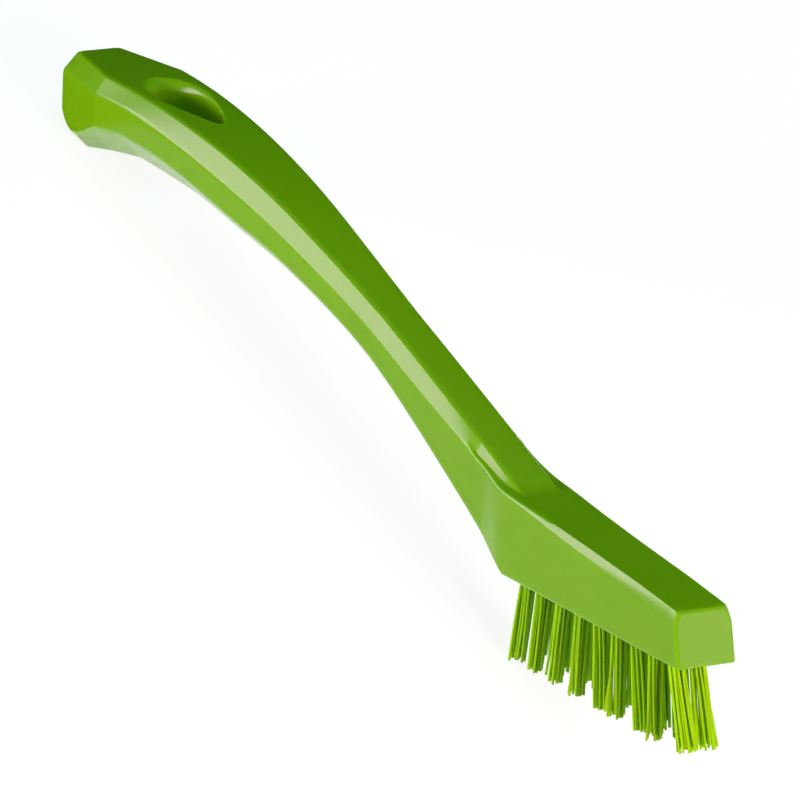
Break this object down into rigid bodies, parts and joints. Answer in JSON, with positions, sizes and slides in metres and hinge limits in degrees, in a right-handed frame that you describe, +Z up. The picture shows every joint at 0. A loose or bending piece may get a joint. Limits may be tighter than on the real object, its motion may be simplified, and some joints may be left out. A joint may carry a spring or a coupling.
{
  "type": "scrub brush",
  "caption": "Narrow scrub brush with a long faceted curved handle, a hanging hole, a straight head block and fanned bristle tufts.",
  "frame": {"origin": "on the surface that the brush rests on, under the middle of its length and width", "axes": "+X along the brush to the front of the head, +Y to its left, +Z up, with the brush lying on its rear bristles and the heel of its grip"},
  "size_m": [0.2128, 0.0188, 0.039],
  "materials": {
    "handle": "smooth moulded polypropylene with a soft gloss",
    "bristle": "stiff polyester filament",
    "anchor": "flat stainless wire"
  },
  "bodies": {
    "root": {"handle_block": "handle", "tuft_right_1": "bristle", "tuft_right_2": "bristle", "tuft_right_3": "bristle", "tuft_right_4": "bristle", "tuft_right_5": "bristle", "tuft_right_6": "bristle", "tuft_right_7": "bristle", "tuft_right_8": "bristle", "tuft_right_9": "bristle", "tuft_left_1": "bristle", "tuft_left_2": "bristle", "tuft_left_3": "bristle", "tuft_left_4": "bristle", "tuft_left_5": "bristle", "tuft_left_6": "bristle", "tuft_left_7": "bristle", "tuft_left_8": "bristle", "tuft_left_9": "bristle", "anchor_right_1": "anchor", "anchor_right_2": "anchor", "anchor_right_3": "anchor", "anchor_right_4": "anchor", "anchor_right_5": "anchor", "anchor_right_6": "anchor", "anchor_right_7": "anchor", "anchor_right_8": "anchor", "anchor_right_9": "anchor", "anchor_left_1": "anchor", "anchor_left_2": "anchor", "anchor_left_3": "anchor", "anchor_left_4": "anchor", "anchor_left_5": "anchor", "anchor_left_6": "anchor", "anchor_left_7": "anchor", "anchor_left_8": "anchor", "anchor_left_9": "anchor"}
  },
  "joints": []
}
